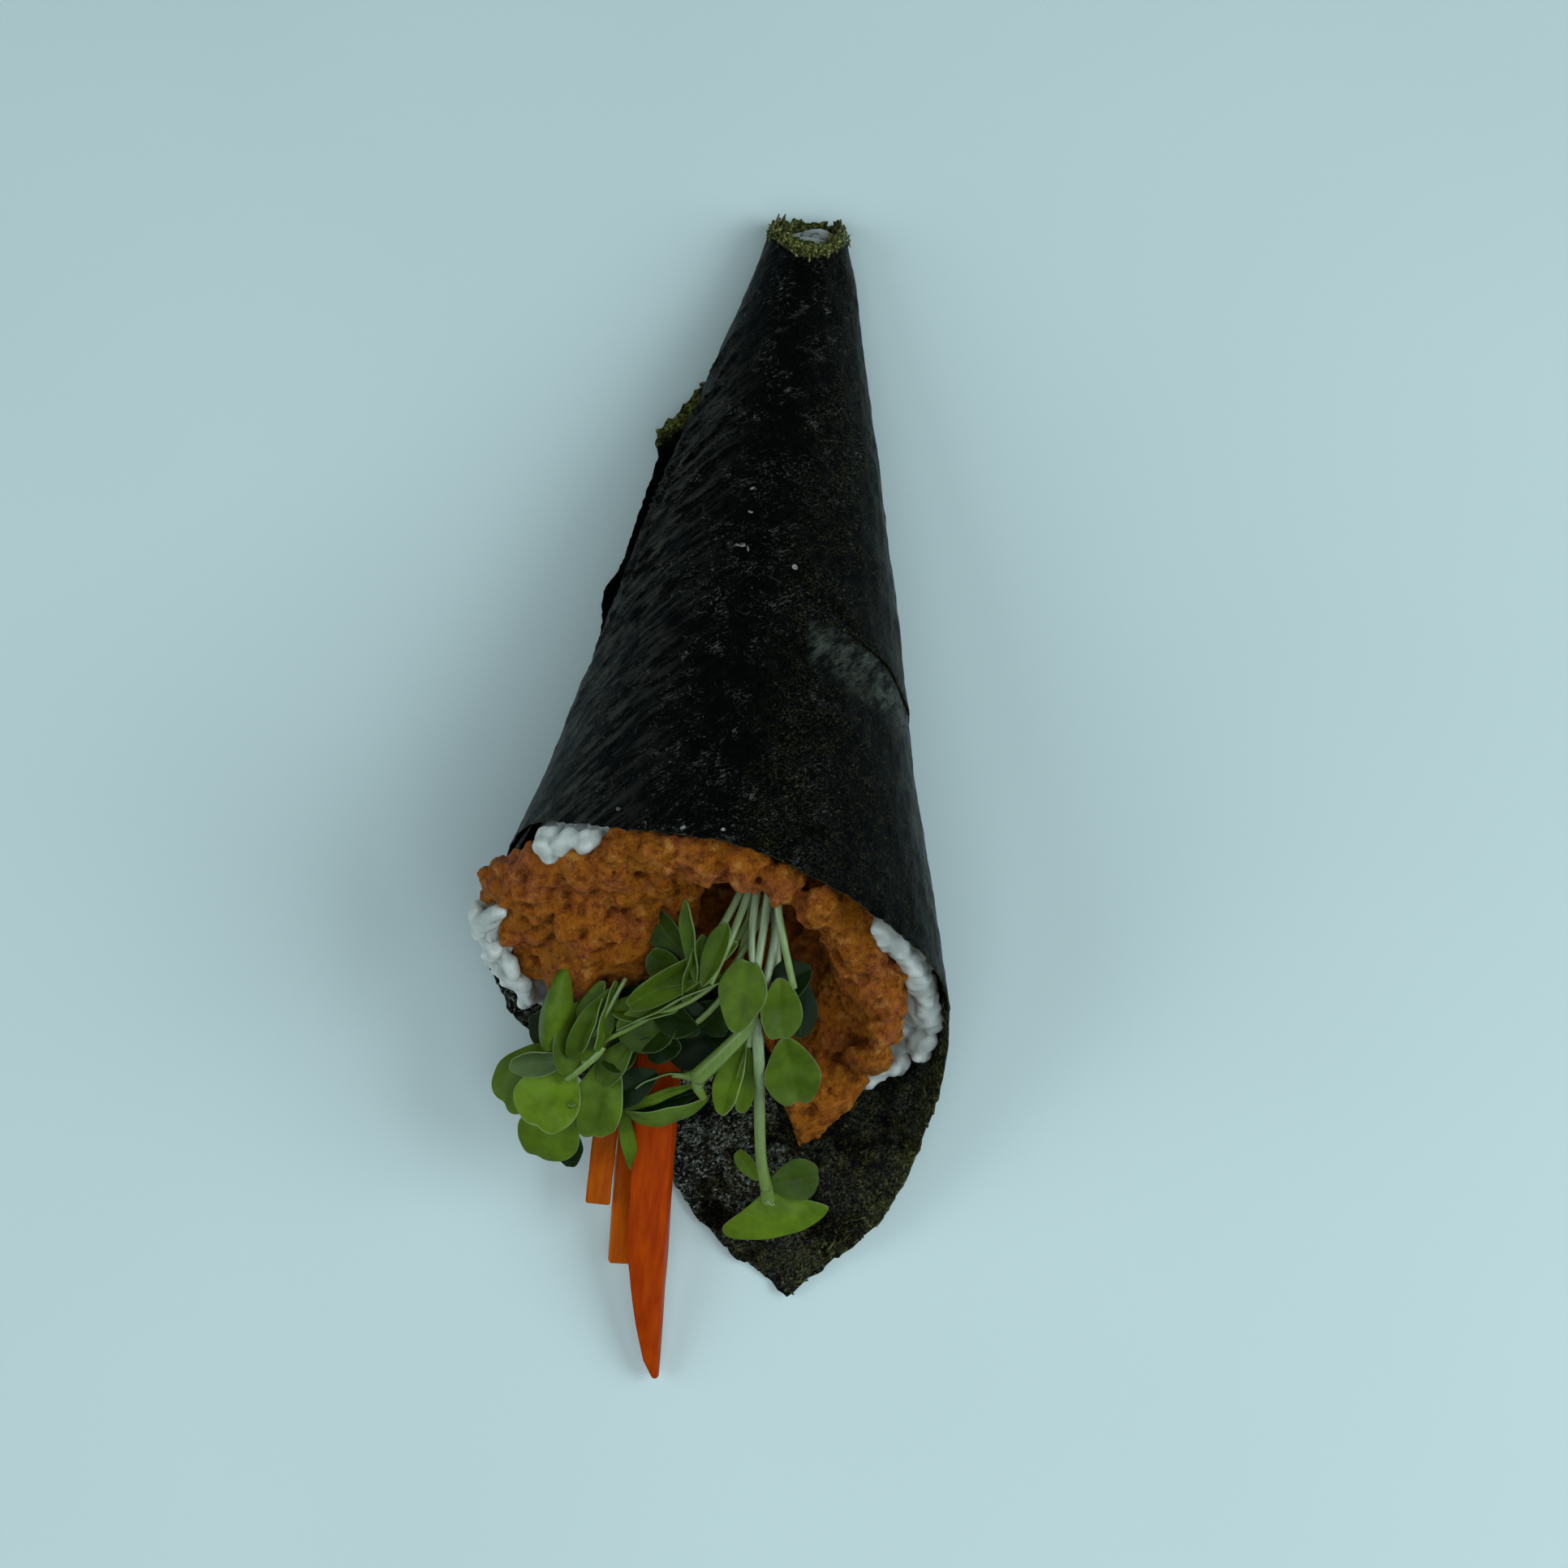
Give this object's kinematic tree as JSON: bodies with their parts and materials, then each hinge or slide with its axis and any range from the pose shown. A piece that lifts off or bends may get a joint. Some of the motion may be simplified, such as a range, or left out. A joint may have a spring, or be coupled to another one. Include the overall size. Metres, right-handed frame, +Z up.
{
  "type": "spicy tuna hand roll",
  "caption": "Cone-shaped sushi hand roll lying on its side: a sheet of seaweed rolled round rice and minced tuna, with sprouts and carrot sticks at its open mouth.",
  "frame": {"origin": "centre of the whole roll's footprint, on the surface it lies on", "axes": "+Y along the cone towards its tip, with the open mouth at -Y; +Z up; +X to the right, seen from the mouth"},
  "size_m": [0.068, 0.1699, 0.0459],
  "materials": {
    "seaweed": "dark green-black dried seaweed, glossy outside and rough inside",
    "rice": "moist white cooked rice",
    "tuna": "wet minced tuna in an orange sauce",
    "carrot": "raw cut carrot",
    "sprout": "fresh green leaf with a soft sheen"
  },
  "bodies": {
    "root": {"nori_wrap": "seaweed", "rice_lining": "rice", "tuna_filling": "tuna", "carrot_stick_long": "carrot", "carrot_stick_middle": "carrot", "carrot_stick_short": "carrot", "sprout_bundle": "sprout", "drooping_sprout": "sprout"}
  },
  "joints": []
}
